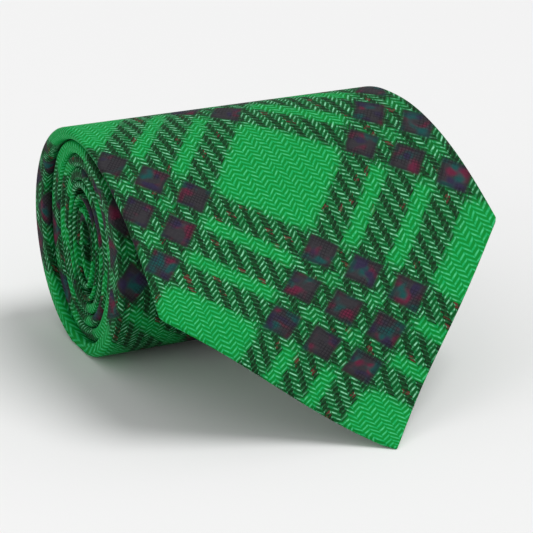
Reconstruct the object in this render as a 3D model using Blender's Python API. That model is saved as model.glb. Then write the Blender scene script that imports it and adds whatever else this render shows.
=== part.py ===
"""A tartan necktie, folded double and rolled up, with the end of its wide blade drawn out over the roll.

Metres, +Z up. X runs along the roll, and -Y is the side that the blade's point lies on. The origin is
the middle of the flat face that the roll rests on, under the middle of the blade's width.

The tie is one long flat tube of cloth around an interlining. Every piece is placed in the tie's own
measures and then bent onto the route that the tie takes:
    s      how far along the tie, from the point of the wide blade to the point of the tail
    a      how far across the tie from its centre line, positive towards +X
    depth  how far under the tie's good face, towards its back
"""

import math

import bmesh
import bpy
from mathutils import Vector

MM = 0.001

# The flat tie.
BLADE_WIDTH = 101.6 * MM
BLADE_POINT = 50.8 * MM  # from the point to the wide corners, which makes it a right angle
NECK_WIDTH = 38 * MM
BLADE_TAPER = 690 * MM  # from the point to where the neck's width starts
TAIL_WIDTH = 48 * MM
TAIL_POINT = 24 * MM
TAIL_TAPER = 340 * MM
BLADE_PANEL = 600 * MM  # the tie is cut as three panels: blade, neck and tail
TAIL_PANEL = 430 * MM

# The layers, from the good face to the back.
CLOTH = 0.25 * MM
INTERLINING = 0.5 * MM
LAYER_GAP = 0.15 * MM
PLY = 2 * CLOTH + 2 * LAYER_GAP + INTERLINING
EDGE_ROOM = 0.6 * MM  # the interlining stops this far inside the folded edges
SEAM_GAP = 0.9 * MM  # the two folded flaps nearly meet along the centre of the back
PANEL_GAP = 0.9 * MM  # the panels nearly meet at the joining seams
POINT_CUT = 2 * MM  # a folded point is blunt by this much
HEM = 7 * MM
OPENING_BLADE = 88 * MM  # where the flaps meet, above the blade's lining
OPENING_TAIL = 45 * MM
THREAD = 0.15 * MM  # radius
TOUCH = 0.3 * MM  # between two pieces that lie on each other

# The roll.
ROLL_RADIUS = 31.3 * MM
TURNS = 6.25
PITCH_HIGH = 3.6 * MM  # how far each turn lies inside the last one, above and below
PITCH_SIDE = 3.2 * MM  # the same at the front and the back
LOOSE_SIDE = (4.7 * MM, 3.1 * MM)  # and what the first two turns have over that
STEP_DEG = 20  # between two stations of the roll
INNER_INSET = 2 * MM  # the inner turns' left edge lies inside the outer turn's
FOLD_WIDTH = 2.6 * MM  # between the two plies where the tie is folded double
KEEPER_ROOM = 1.0 * MM  # more room between the plies around the keeper loop and the labels
TAIL_START_TURN = 0.11  # the tail's point lies this far round, under the outer turn
TAIL_X = -2 * MM  # the tail's centre line at its point

# The drawn-out end of the blade.
FREE_LENGTH = 118 * MM
SLOPES_DEG = (0, 18, 32, 40, 59, 28)  # downward slope at equal steps from the top of the roll to the point
SLANT_DEG = -6.9  # the bias-cut cloth leans, so that the left corner lies nearer the table
SLANT_LENGTH = 60 * MM  # over this length
POINT_LIFT = 0.2 * MM  # the point's back touches the table, but for this
END_STEPS = 25

# The keeper loop and the labels, on the back of the blade.
KEEPER_ON_ROLL = 42 * MM  # from the top of the roll
KEEPER_LENGTH = 15 * MM
KEEPER_SIDE = 1.6 * MM  # beside the tail
KEEPER_FOOT = 5 * MM
LABEL_ON_ROLL = 61 * MM
LABEL_SIZE = (46 * MM, 11 * MM)
CARE_ON_ROLL = 24 * MM
CARE_SIZE = (16 * MM, 13 * MM)
CARE_A = 34 * MM
TRIM = 0.2 * MM  # thickness of a label
BAR_TACK = 6 * MM  # across the two flaps

NECKTIE = bpy.data.collections.new("necktie")
CLEAR = THREAD + 0.12 * MM


def smooth(value, low, high):
    """0 up to low, 1 from high on, and an even change between them."""
    share = min(max((value - low) / (high - low), 0.0), 1.0)
    return share * share * (3 - 2 * share)


def mix(first, second, share):
    return first + (second - first) * share


# --- the route of the rolled part, seen along X -------------------------------------------------


def side_radius(turn):
    """Half the roll's depth at this turn. It steps in as the tie passes over the top."""
    radius = ROLL_RADIUS
    for number in range(1, math.ceil(turn) + 2):
        loose = LOOSE_SIDE[number - 1] if number <= len(LOOSE_SIDE) else 0
        radius -= (PITCH_SIDE + loose) * smooth(turn, number - 0.25, number + 0.25)
    return radius


def high_radius(turn):
    """Half the roll's height at this turn. It steps in as the tie comes up the front."""
    radius = ROLL_RADIUS
    for number in range(1, math.ceil(turn) + 2):
        radius -= PITCH_HIGH * smooth(turn, number - 0.45, number - 0.05)
    return radius


CENTRE_Z = ROLL_RADIUS * math.cos(math.radians(STEP_DEG / 2))
TOP_Z = CENTRE_Z + ROLL_RADIUS


def face_point(turn):
    """The good face of the blade's ply, as (y, z): from the top, over the back, and round under the front."""
    angle = math.tau * turn
    return Vector((side_radius(turn) * math.sin(angle), CENTRE_Z + high_radius(turn) * math.cos(angle)))


def face_normal(turn):
    nudge = 1e-4
    along = face_point(turn + nudge) - face_point(max(turn - nudge, 0))
    return Vector((-along.y, along.x)).normalized() if turn else Vector((0, 1))


def ply_distance(turn):
    """From the middle of the blade's ply to the middle of the tail's ply inside it."""
    keeper = KEEPER_ROOM * smooth(turn, 0.08, 0.14) * (1 - smooth(turn, 0.38, 0.44))
    fold = (FOLD_WIDTH - PLY - TOUCH) * smooth(turn, TURNS - 0.12, TURNS)
    return PLY + TOUCH + keeper + fold


def stations_of_route():
    """(s, middle of the ply, direction of the good face) along the rolled tie, and s at the fold and at the tail."""
    step = STEP_DEG / 360
    turns = [0.0]
    while turns[-1] < TURNS - 0.6 * step:
        turns.append(step * len(turns) - step / 2)
    turns[-1] = TURNS
    route = [(face_point(t) - face_normal(t) * PLY / 2, face_normal(t)) for t in turns]
    fold_at = len(route)
    middle, normal = route[-1]
    ahead = Vector((normal.y, -normal.x))
    half = ply_distance(TURNS) / 2
    for number in range(1, 6):
        angle = math.pi * number / 6
        facing = normal * math.cos(angle) + ahead * math.sin(angle)
        route.append((middle - normal * half + facing * half, facing))
    tail = [TAIL_START_TURN] + [t for t in turns if t > TAIL_START_TURN + step / 4]
    for turn in reversed(tail):
        normal = face_normal(turn)
        inside = PLY / 2 + ply_distance(turn)
        route.append((face_point(turn) - normal * inside, -normal))
    s = FREE_LENGTH
    stations = []
    for number, (point, normal) in enumerate(route):
        if number:
            s += (point - route[number - 1][0]).length
        stations.append((s, point, normal))
    return stations, stations[fold_at + 2][0]


STATIONS, FOLD_S = stations_of_route()
TIE_LENGTH = STATIONS[-1][0]


# --- the tie's outline --------------------------------------------------------------------------


def half_width(s):
    """Half the tie's width, from one blunt point to the other."""
    rest = TIE_LENGTH - s
    blade = mix(BLADE_WIDTH, NECK_WIDTH, (s - BLADE_POINT) / (BLADE_TAPER - BLADE_POINT))
    tail = mix(TAIL_WIDTH, NECK_WIDTH, (rest - TAIL_POINT) / (TAIL_TAPER - TAIL_POINT))
    points = min(BLADE_WIDTH * s / BLADE_POINT, TAIL_WIDTH * rest / TAIL_POINT)
    return min(max(blade, tail, NECK_WIDTH), points) / 2


def opening(s):
    """Half the width that the flaps leave open on the back: wide over the linings, a seam between them."""
    rest = TIE_LENGTH - s
    hem = HEM * math.sqrt(2)
    blade = mix(BLADE_WIDTH / 2 - hem, SEAM_GAP / 2, (s - BLADE_POINT) / (OPENING_BLADE - BLADE_POINT))
    tail = mix(TAIL_WIDTH / 2 - hem, SEAM_GAP / 2, (rest - TAIL_POINT) / (OPENING_TAIL - TAIL_POINT))
    return max(SEAM_GAP / 2, min(max(blade, tail), half_width(s) - hem))


TOP_HALF = half_width(FREE_LENGTH)


def centre_x(s):
    """Where the tie's centre line runs: the blade keeps its left edge flush, and the tail drifts to the middle."""
    if s < FOLD_S:
        return half_width(s) - TOP_HALF + INNER_INSET * smooth(s, 2 * FREE_LENGTH, 3 * FREE_LENGTH)
    return mix(centre_x(FOLD_S - MM), TAIL_X, (s - FOLD_S) / (TIE_LENGTH - FOLD_S))


# --- bending the flat tie onto its route --------------------------------------------------------


def slope_at(share):
    """The blade's downward slope in degrees at this share of its free length, smooth through SLOPES_DEG."""
    last = len(SLOPES_DEG) - 1
    place_of = min(max(share * last, 0.0), last - 1e-6)
    first = int(place_of)
    part = place_of - first
    low, high = SLOPES_DEG[first], SLOPES_DEG[first + 1]
    lean_low = (high - SLOPES_DEG[max(first - 1, 0)]) / 2
    lean_high = (SLOPES_DEG[min(first + 2, last)] - low) / 2
    slope = (2 * part**3 - 3 * part**2 + 1) * low + (part**3 - 2 * part**2 + part) * lean_low
    return slope + (3 * part**2 - 2 * part**3) * high + (part**3 - part**2) * lean_high


def end_profile(steepness):
    """(y, z, slope) every half millimetre down the drawn-out blade, from before the roll's top to past the point."""
    y, z = PROFILE_BEFORE * PROFILE_STEP, TOP_Z
    profile = []
    for number in range(-PROFILE_BEFORE, round(FREE_LENGTH / PROFILE_STEP) + PROFILE_BEFORE):
        slope = math.radians(slope_at(number * PROFILE_STEP / FREE_LENGTH) * steepness) if number > 0 else 0.0
        profile.append((y, z, slope))
        y -= PROFILE_STEP * math.cos(slope)
        z -= PROFILE_STEP * math.sin(slope)
    return profile


def on_profile(profile, length):
    share = length / PROFILE_STEP + PROFILE_BEFORE
    first = min(max(int(share), 0), len(profile) - 2)
    return [mix(low, high, share - first) for low, high in zip(profile[first], profile[first + 1])]


def reaching_profile():
    """The profile whose slopes, all scaled alike, just bring the back of the point down to the table."""
    low, high = 0.5, 1.8
    for _ in range(30):
        middle = (low + high) / 2
        _, z, slope = on_profile(end_profile(middle), FREE_LENGTH - POINT_CUT)
        if z - PLY * math.cos(slope) > POINT_LIFT:
            low = middle
        else:
            high = middle
    return end_profile(high)


PROFILE_STEP = 0.5 * MM
PROFILE_BEFORE = 30
PROFILE = reaching_profile()


def end_row(number):
    """(point, direction of the good face) at the left edge, the centre and the right edge of a row of the end."""
    length = FREE_LENGTH * (1 - number / END_STEPS)
    angle = math.radians(SLANT_DEG) * smooth(length, 0, SLANT_LENGTH)
    row = []
    for a in (-BLADE_WIDTH / 2, 0, BLADE_WIDTH / 2):
        y, z, slope = on_profile(PROFILE, length + a * math.sin(angle))
        point = Vector((a * math.cos(angle), y, z))
        row.append((point, Vector((0, -math.sin(slope), math.cos(slope)))))
    return row


END_ROWS = [end_row(number) for number in range(END_STEPS + 1)]


def place_end(s, a, depth):
    share = s * END_STEPS / FREE_LENGTH
    first = min(int(share), END_STEPS - 1)
    edge = 2 if a > 0 else 0
    across = abs(a) * 2 / BLADE_WIDTH
    found = []
    for row in END_ROWS[first : first + 2]:
        point = row[1][0].lerp(row[edge][0], across)
        facing = row[1][1].lerp(row[edge][1], across)
        found.append(point - facing * depth)
    return found[0].lerp(found[1], share - first)


def place_roll(s, a, depth):
    number = 1
    while number < len(STATIONS) - 1 and STATIONS[number][0] < s:
        number += 1
    low, high = STATIONS[number - 1], STATIONS[number]
    share = (s - low[0]) / (high[0] - low[0])
    middle = low[1].lerp(high[1], share) + low[2].lerp(high[2], share) * (PLY / 2 - depth)
    return Vector((centre_x(s) + a, middle.x, middle.y))


def place(s, a, depth):
    return place_end(s, a, depth) if s < FREE_LENGTH else place_roll(s, a, depth)


def stops(start, end, *extra):
    """Where a piece from start to end has a section: its ends, every station of the route and the outline's corners."""
    inner = [FREE_LENGTH * number / END_STEPS for number in range(1, END_STEPS)]
    inner += [station[0] for station in STATIONS]
    corners = [BLADE_POINT, OPENING_BLADE, TIE_LENGTH - TAIL_POINT, TIE_LENGTH - OPENING_TAIL]
    found = [start, end]
    for s in corners + list(extra) + inner:
        if start < s < end and min(abs(s - other) for other in found) > 1.5 * THREAD:
            found.append(s)
    return sorted(found)


# --- making solids ------------------------------------------------------------------------------


def material(name, colour, roughness):
    made = bpy.data.materials.new(name)
    made.use_nodes = True
    shader = made.node_tree.nodes["Principled BSDF"]
    shader.inputs["Base Color"].default_value = (*colour, 1)
    shader.inputs["Roughness"].default_value = roughness
    shader.inputs["Metallic"].default_value = 0
    made.diffuse_color = (*colour, 1)
    return made


GREEN = material("green_tartan", (0.01, 0.36, 0.1), 0.75)
WOOL = material("interlining_wool", (0.75, 0.72, 0.64), 0.95)
LINING = material("lining_satin", (0.02, 0.16, 0.07), 0.45)
LABEL = material("label_satin", (0.04, 0.05, 0.06), 0.5)
WHITE = material("care_label_white", (0.85, 0.85, 0.83), 0.6)
STITCH = material("green_thread", (0.02, 0.3, 0.1), 0.6)


def add(name, mesh, finish):
    obj = bpy.data.objects.new(name, mesh)
    mesh.materials.append(finish)
    NECKTIE.objects.link(obj)
    return obj


def ribbon(name, sections, finish):
    """A closed strip. Each section is a list of (top point, under point) pairs across the strip.

    The faces are triangles cut the same way in every layer, so that layers on a bend stay parallel.
    """
    shape = bmesh.new()
    rows = [[(shape.verts.new(top), shape.verts.new(under)) for top, under in section] for section in sections]
    for low, high in zip(rows, rows[1:]):
        for left in range(len(low) - 1):
            for side in (0, 1):
                first, second = low[left][side], low[left + 1][side]
                third, fourth = high[left + 1][side], high[left][side]
                shape.faces.new((first, second, third) if side == 0 else (third, second, first))
                shape.faces.new((first, third, fourth) if side == 0 else (fourth, third, first))
        for edge in (0, -1):
            corners = [low[edge][0], high[edge][0], high[edge][1], low[edge][1]]
            shape.faces.new(corners if edge == 0 else corners[::-1])
    for row in (rows[0], rows[-1]):
        for left in range(len(row) - 1):
            shape.faces.new([row[left][0], row[left + 1][0], row[left + 1][1], row[left][1]])
    bmesh.ops.recalc_face_normals(shape, faces=shape.faces)
    if shape.calc_volume(signed=True) < 0:
        bmesh.ops.reverse_faces(shape, faces=shape.faces)
    mesh = bpy.data.meshes.new(name)
    shape.to_mesh(mesh)
    shape.free()
    return add(name, mesh, finish)


def thread(name, points, finish=STITCH, radius=THREAD):
    """A strand of sewing thread through these points."""
    line = bpy.data.curves.new(name, "CURVE")
    line.dimensions = "3D"
    line.bevel_depth = radius
    line.bevel_resolution = 0
    line.use_fill_caps = True
    spline = line.splines.new("POLY")
    spline.points.add(len(points) - 1)
    for point, place_of in zip(spline.points, points):
        point.co = (*place_of, 1)
    return add(name, line, finish)


# --- the tie's own pieces -----------------------------------------------------------------------


def inner_stops(s, start):
    """Where a layer has points between its edges: at its centre and, on the bent end, over the flaps' edges."""
    return [0] if start > FREE_LENGTH else [-opening(s), 0, opening(s)]


def panel(name, start, end):
    """A panel of the envelope: the cloth's face, its two folded edges and the two flaps on the back."""
    sections = []
    for s in stops(start, end):
        half, open_half = half_width(s), opening(s)
        line = [(-open_half, PLY, -open_half, PLY - CLOTH)]
        line.append((-half, PLY, -half + CLOTH, PLY - CLOTH))
        line.append((-half, 0, -half + CLOTH, CLOTH))
        line += [(a, 0, a, CLOTH) for a in inner_stops(s, start)]
        line.append((half, 0, half - CLOTH, CLOTH))
        line.append((half, PLY, half - CLOTH, PLY - CLOTH))
        line.append((open_half, PLY, open_half, PLY - CLOTH))
        sections.append([(place(s, a, d), place(s, a_in, d_in)) for a, d, a_in, d_in in line])
    return ribbon(name, sections, GREEN)


def layer(name, start, end, half_of, top, thickness, finish, centre=0.0, over_flaps=False):
    """A flat layer of the tie, half_of(s) wide on each side of its centre."""
    sections = []
    for s in stops(start, end):
        middle = inner_stops(s, start) if over_flaps else [centre]
        across = [centre - half_of(s), *middle, centre + half_of(s)]
        sections.append([(place(s, a, top), place(s, a, top + thickness)) for a in across])
    return ribbon(name, sections, finish)


def interlining_half(s):
    return half_width(s) - CLOTH - EDGE_ROOM


def make_envelope():
    """The three panels. The blade's own panel is in two lengths, which meet where it leaves the roll."""
    neck_start, tail_start = BLADE_PANEL, TIE_LENGTH - TAIL_PANEL
    panel("blade_panel_end", POINT_CUT, FREE_LENGTH - TOUCH / 2)
    panel("blade_panel_rolled", FREE_LENGTH + TOUCH / 2, neck_start - PANEL_GAP / 2)
    panel("neck_panel", neck_start + PANEL_GAP / 2, tail_start - PANEL_GAP / 2)
    panel("tail_panel", tail_start + PANEL_GAP / 2, TIE_LENGTH - POINT_CUT)


def make_interlining():
    top = CLOTH + LAYER_GAP
    first = 2 * POINT_CUT
    last = TIE_LENGTH - 2 * POINT_CUT
    for name, start, end in (
        ("interlining_end", first, FREE_LENGTH - TOUCH / 2),
        ("interlining_rolled", FREE_LENGTH + TOUCH / 2, last),
    ):
        layer(name, start, end, interlining_half, top, INTERLINING, WOOL, over_flaps=True)


def make_tipping():
    """The linings that show between the flaps, at both points, and the stitches that hold them to the hem."""
    clearance = 2 * CLEAR + THREAD

    def half_of(s):
        return opening(s) - clearance

    hem = HEM * math.sqrt(2)
    least = SEAM_GAP / 2 + clearance + 0.5 * MM
    blade_start = (hem + least) * BLADE_POINT * 2 / BLADE_WIDTH
    tail_start = (hem + least) * TAIL_POINT * 2 / TAIL_WIDTH
    blade_end = mix(OPENING_BLADE, BLADE_POINT, least / (BLADE_WIDTH / 2 - hem))
    tail_end = mix(OPENING_TAIL, TAIL_POINT, least / (TAIL_WIDTH / 2 - hem))
    top = PLY - CLOTH
    layer("blade_tipping", blade_start, blade_end, half_of, top, CLOTH, LINING)
    layer("tail_tipping", TIE_LENGTH - tail_end, TIE_LENGTH - tail_start, half_of, top, CLOTH, LINING)
    for name, start, turn, sign in (
        ("blade_tipping_stitch", blade_start, BLADE_POINT, 1),
        ("tail_tipping_stitch", tail_start, TAIL_POINT, -1),
    ):
        ends = sorted((turn, start) if sign > 0 else (TIE_LENGTH - turn, TIE_LENGTH - start))
        down = [(s, opening(s) - CLEAR - THREAD / 2) for s in stops(*ends)]
        if sign > 0:
            down.reverse()
        low = down[-1][0] - sign * 1.2 * MM
        route = [(s, -a) for s, a in down] + [(low, 0)] + [(s, a) for s, a in reversed(down)]
        thread(name, [place(s, a, PLY - CLOTH / 2) for s, a in route])


def make_seams():
    """The slip stitch up the centre of the back, the two joining seams and the bar tacks at the openings."""
    depth = PLY - CLOTH / 2
    first = OPENING_BLADE + 2 * MM
    last = TIE_LENGTH - OPENING_TAIL - 2 * MM
    thread("slip_stitch_end", [place(s, 0, depth) for s in stops(first, FREE_LENGTH - TOUCH)])
    thread("slip_stitch_rolled", [place(s, 0, depth) for s in stops(FREE_LENGTH + TOUCH, last)])
    for name, s in (("blade_neck_seam", BLADE_PANEL), ("neck_tail_seam", TIE_LENGTH - TAIL_PANEL)):
        half = half_width(s) - CLOTH
        thread(name, [place(s, half * n / 4, CLOTH / 2) for n in range(-4, 5)])
    for name, s in (("blade_bar_tack", first + MM), ("tail_bar_tack", last - MM)):
        line = [place(s, BAR_TACK * n / 4, PLY + CLEAR) for n in range(-2, 3)]
        thread(name, line)


# --- the keeper loop and the labels -------------------------------------------------------------


def keeper_depth():
    """How deep the keeper's band lies, under the tail that it holds."""
    return 2 * PLY + KEEPER_ROOM + 2 * TOUCH


def make_keeper():
    """The keeper: a band of the tie's own cloth, sewn to the blade at both ends, with the tail through it."""
    foot_top = PLY + TOUCH
    web_top = keeper_depth()
    start = FREE_LENGTH + KEEPER_ON_ROLL
    end = start + KEEPER_LENGTH
    middle = (start + end) / 2
    tail_half = TAIL_WIDTH / 2 + KEEPER_SIDE
    centre = TAIL_X - centre_x(middle)
    sections = []
    for s in stops(start, end):
        right = [(tail_half + KEEPER_FOOT, foot_top, tail_half + KEEPER_FOOT, foot_top + CLOTH)]
        right.append((tail_half, foot_top, tail_half + CLOTH, foot_top + CLOTH))
        right.append((tail_half, web_top, tail_half + CLOTH, web_top + CLOTH))
        left = [(-a, d, -a_in, d_in) for a, d, a_in, d_in in reversed(right)]
        line = right + [(0, web_top, 0, web_top + CLOTH)] + left
        sections.append([(place(s, centre + a, d), place(s, centre + a_in, d_in)) for a, d, a_in, d_in in line])
    ribbon("keeper_loop", sections, GREEN)
    for name, side in (("keeper_tack_left", -1), ("keeper_tack_right", 1)):
        a = centre + side * (tail_half + KEEPER_FOOT / 2)
        span = stops(start + 2 * MM, end - 2 * MM)
        thread(name, [place(s, a, foot_top + CLOTH + CLEAR) for s in span])


def make_labels():
    """Two blank satin labels on the back of the blade, beside the keeper."""
    top = PLY + TOUCH
    start = FREE_LENGTH + LABEL_ON_ROLL
    width, length = LABEL_SIZE
    layer("label", start, start + length, lambda s: width / 2, top, TRIM, LABEL)
    for name, side in (("label_stitch_left", -1), ("label_stitch_right", 1)):
        span = stops(start + MM, start + length - MM)
        a = side * (width / 2 - MM)
        thread(name, [place(s, a, top + TRIM + CLEAR) for s in span])
    start = FREE_LENGTH + CARE_ON_ROLL
    width, length = CARE_SIZE
    layer("care_label", start, start + length, lambda s: width / 2, top, TRIM, WHITE, CARE_A)


def main():
    for obj in list(bpy.data.objects):
        bpy.data.objects.remove(obj)
    bpy.context.scene.collection.children.link(NECKTIE)
    make_envelope()
    make_interlining()
    make_tipping()
    make_seams()
    make_keeper()
    make_labels()
    print(f"tie {TIE_LENGTH / MM:.0f} mm long, folded double at {FOLD_S / MM:.0f} mm, roll top at {TOP_Z / MM:.2f} mm")


main()
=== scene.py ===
# %% [markdown]
# # A rolled-up tartan necktie
#
# A necktie is one long flat tube. A bias-cut panel of printed twill is folded round a brushed
# interlining, the two flaps meet along the back, and a slip stitch closes them. This one is folded
# double at the neck and rolled up, with the end of the wide blade drawn out over the roll.
#
# Every piece here is cut flat in the tie's own measures and then bent on to one route. That is how
# the layers stay parallel, and how the pattern can run on from piece to piece.
#
# First the imported tie is loaded, each of its parts set in its place in the world. Each piece
# made below stands in for one of these parts, which is then hidden.

# %% Load the imported tie
import math

import bpy
import numpy as np
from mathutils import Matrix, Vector


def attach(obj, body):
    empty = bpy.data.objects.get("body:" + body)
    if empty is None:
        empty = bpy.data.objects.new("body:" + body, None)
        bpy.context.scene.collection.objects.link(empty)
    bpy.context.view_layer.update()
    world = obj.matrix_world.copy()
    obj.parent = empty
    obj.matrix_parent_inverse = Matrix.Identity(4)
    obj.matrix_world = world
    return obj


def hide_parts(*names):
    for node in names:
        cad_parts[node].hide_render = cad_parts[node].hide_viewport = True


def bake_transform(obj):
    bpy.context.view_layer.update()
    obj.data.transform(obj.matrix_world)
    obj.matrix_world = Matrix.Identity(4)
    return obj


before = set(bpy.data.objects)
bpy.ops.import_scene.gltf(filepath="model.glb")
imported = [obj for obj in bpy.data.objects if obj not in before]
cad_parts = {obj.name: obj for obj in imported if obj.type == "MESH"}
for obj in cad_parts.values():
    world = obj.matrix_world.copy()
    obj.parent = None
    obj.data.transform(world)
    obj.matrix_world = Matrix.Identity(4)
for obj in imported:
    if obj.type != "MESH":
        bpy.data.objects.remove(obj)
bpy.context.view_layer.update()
MM = 0.001

# %% [markdown]
# ## The camera
#
# A long lens from a little above, to the left of the tie. A tie in a shop window is shown this
# way, because the end of the roll and the whole point of the blade both show. A long lens keeps
# the two sides of the roll nearly parallel. The camera comes first, since all the rest is judged
# through it.

# %% Camera
LOOK_AT = Vector((-8.55, -38.0, 30.6)) * MM
AZIMUTH, ELEVATION = math.radians(-25.6), math.radians(20.4)
DISTANCE, LENS_MM, SENSOR_MM = 0.6, 154.8, 36
camera_data = bpy.data.cameras.new("camera")
camera_data.lens = LENS_MM
camera_data.sensor_width = SENSOR_MM
camera_data.clip_start = 10 * MM
camera = bpy.data.objects.new("camera", camera_data)
bpy.context.scene.collection.objects.link(camera)
towards_camera = Vector((
    math.sin(AZIMUTH) * math.cos(ELEVATION),
    -math.cos(AZIMUTH) * math.cos(ELEVATION),
    math.sin(ELEVATION),
))
camera.location = LOOK_AT + towards_camera * DISTANCE
camera.rotation_euler = towards_camera.to_track_quat("Z", "Y").to_euler()
bpy.context.scene.camera = camera
print("camera at", [round(value, 3) for value in camera.location])

# %% [markdown]
# ## The flat tie
#
# These are the tie's own measures before it is rolled: `s` runs from the point of the wide blade
# to the point of the tail, `a` across from the centre line, and `depth` from the good face to the
# back. All of them are arrays, because numpy then bends a whole piece in one go.

# %% Measures of the flat tie
BLADE_WIDTH, BLADE_POINT = 101.6 * MM, 50.8 * MM
NECK_WIDTH, BLADE_TAPER = 38 * MM, 690 * MM
TAIL_WIDTH, TAIL_POINT, TAIL_TAPER = 48 * MM, 24 * MM, 340 * MM
BLADE_PANEL, TAIL_PANEL = 600 * MM, 430 * MM
CLOTH, INTERLINING, LAYER_GAP = 0.25 * MM, 0.5 * MM, 0.15 * MM
PLY = 2 * CLOTH + 2 * LAYER_GAP + INTERLINING
SEAM_GAP, PANEL_GAP = 0.3 * MM, 0.3 * MM
OPENING_BLADE, OPENING_TAIL = 88 * MM, 45 * MM
TOUCH = 0.3 * MM
print(f"one ply of the tie is {PLY / MM:.2f} mm thick")


def smooth(value, low, high):
    """0 up to low, 1 from high on, and an even change between them."""
    share = np.clip((value - low) / (high - low), 0.0, 1.0)
    return share * share * (3 - 2 * share)


def mix(first, second, share):
    """first at share 0, second at share 1."""
    return first + (second - first) * share


# %% [markdown]
# ## The roll's route
#
# Seen along its axis, the rolled tie is a spiral that steps in once each turn, as cloth does when
# it rides over its own end. It is flat underneath, where it lies on the table. From the middle the
# tie turns back, because it was folded double before it was rolled, and the tail runs out again
# inside the blade's turns.

# %% Route of the roll
ROLL_RADIUS, TURNS = 31.3 * MM, 6.25
STEPS_IN = range(1, 9)
PITCH_HIGH, PITCH_SIDE, LOOSE_SIDE = 3.6 * MM, 3.2 * MM, (4.7 * MM, 3.1 * MM)
INNER_INSET, FOLD_WIDTH, KEEPER_ROOM = 2 * MM, 2.6 * MM, 1.0 * MM
KEEPER_FROM, KEEPER_TO = (0.08, 0.14), (0.38, 0.44)
FOLD_OPENS = 0.12
TAIL_START_TURN, TAIL_X = 0.11, -2 * MM
FREE_LENGTH = 118 * MM
FLAT_ANGLE = math.radians(10)
CENTRE_Z = ROLL_RADIUS * math.cos(FLAT_ANGLE)
TOP_Z = CENTRE_Z + ROLL_RADIUS
FINE_TURN, FOLD_POINTS = 2.5 / 360, 19


def side_radius(turn):
    """How far the turns reach to the front and the back. The first two steps in are loose."""
    radius = np.full_like(turn, ROLL_RADIUS)
    for number in STEPS_IN:
        loose = LOOSE_SIDE[number - 1] if number <= len(LOOSE_SIDE) else 0
        radius = radius - (PITCH_SIDE + loose) * smooth(turn, number - 0.25, number + 0.25)
    return radius


def high_radius(turn):
    """How far the turns reach up and down."""
    radius = np.full_like(turn, ROLL_RADIUS)
    for number in STEPS_IN:
        radius = radius - PITCH_HIGH * smooth(turn, number - 0.45, number - 0.05)
    return radius


def face_point(turn):
    """The good face of the blade's ply as rows of (y, z), from the top, down the back and on."""
    angle = math.tau * turn
    z = CENTRE_Z + high_radius(turn) * np.cos(angle)
    return np.stack([side_radius(turn) * np.sin(angle), np.maximum(z, 0.0)], -1)


def face_normal(turn):
    """Straight out of the good face. At the very start that is straight up."""
    nearby = 0.002
    along = face_point(turn + nearby) - face_point(np.maximum(turn - nearby, 0))
    normal = np.stack([-along[:, 1], along[:, 0]], -1)
    normal /= np.linalg.norm(normal, axis=1, keepdims=True)
    normal[turn < 1e-6] = (0, 1)
    return normal


def ply_distance(turn):
    """From the middle of the blade's ply to the middle of the tail's ply inside it."""
    keeper = KEEPER_ROOM * smooth(turn, *KEEPER_FROM) * (1 - smooth(turn, *KEEPER_TO))
    fold = (FOLD_WIDTH - PLY - TOUCH) * smooth(turn, TURNS - FOLD_OPENS, TURNS)
    return PLY + TOUCH + keeper + fold


# %% Route through the blade's plies, the fold and the tail's plies
blade_turns = np.append(np.arange(0, TURNS - FINE_TURN / 2, FINE_TURN), TURNS)
blade_normals = face_normal(blade_turns)
blade_middle = face_point(blade_turns) - blade_normals * PLY / 2
fold_angle = np.linspace(0, math.pi, FOLD_POINTS)[1:-1, None]
fold_ahead = np.array([blade_normals[-1, 1], -blade_normals[-1, 0]])
fold_normals = blade_normals[-1] * np.cos(fold_angle) + fold_ahead * np.sin(fold_angle)
fold_middle = blade_middle[-1] + (fold_normals - blade_normals[-1]) * ply_distance(TURNS) / 2
tail_turns = blade_turns[blade_turns > TAIL_START_TURN][::-1]
tail_normals = -face_normal(tail_turns)
tail_inside = (PLY / 2 + ply_distance(tail_turns))[:, None]
tail_middle = face_point(tail_turns) + tail_normals * tail_inside
route_middle = np.concatenate([blade_middle, fold_middle, tail_middle])
route_normal = np.concatenate([blade_normals, fold_normals, tail_normals])
route_step = np.linalg.norm(np.diff(route_middle, axis=0), axis=1)
route_s = FREE_LENGTH + np.concatenate([[0], np.cumsum(route_step)])
FOLD_S = route_s[len(blade_turns) + len(fold_middle) // 2]
TIE_LENGTH = route_s[-1]
print(f"tie {TIE_LENGTH / MM:.0f} mm long, folded double at {FOLD_S / MM:.0f} mm")

# %% [markdown]
# ## The tie's outline
#
# The blade tapers to the neck, and the tail widens again. Each end has a right-angled point.
# Behind each point the flaps stand open over a satin lining, and higher up they meet along the
# centre.

# %% Outline of the tie
TIP_ROUND, TIP_END = 1.2 * MM, 0.3 * MM
HEM_ACROSS = 7 * MM * math.sqrt(2)


def half_width(s):
    """Half the tie's width. Each point is a little rounded, as a turned-out corner is."""
    rest = TIE_LENGTH - s
    blade = mix(BLADE_WIDTH, NECK_WIDTH, (s - BLADE_POINT) / (BLADE_TAPER - BLADE_POINT))
    tail = mix(TAIL_WIDTH, NECK_WIDTH, (rest - TAIL_POINT) / (TAIL_TAPER - TAIL_POINT))
    body = np.maximum(np.maximum(blade, tail), NECK_WIDTH)
    end = np.minimum(s, rest)
    blunt = np.sqrt(np.clip(1 - ((TIP_ROUND - end) / (TIP_ROUND - TIP_END)) ** 2, 0.04, 1))
    end = np.where(end < TIP_ROUND, TIP_ROUND * blunt, end)
    point = np.where(s < rest, BLADE_WIDTH / BLADE_POINT, TAIL_WIDTH / TAIL_POINT) * end
    return np.minimum(body, point) / 2


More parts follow.
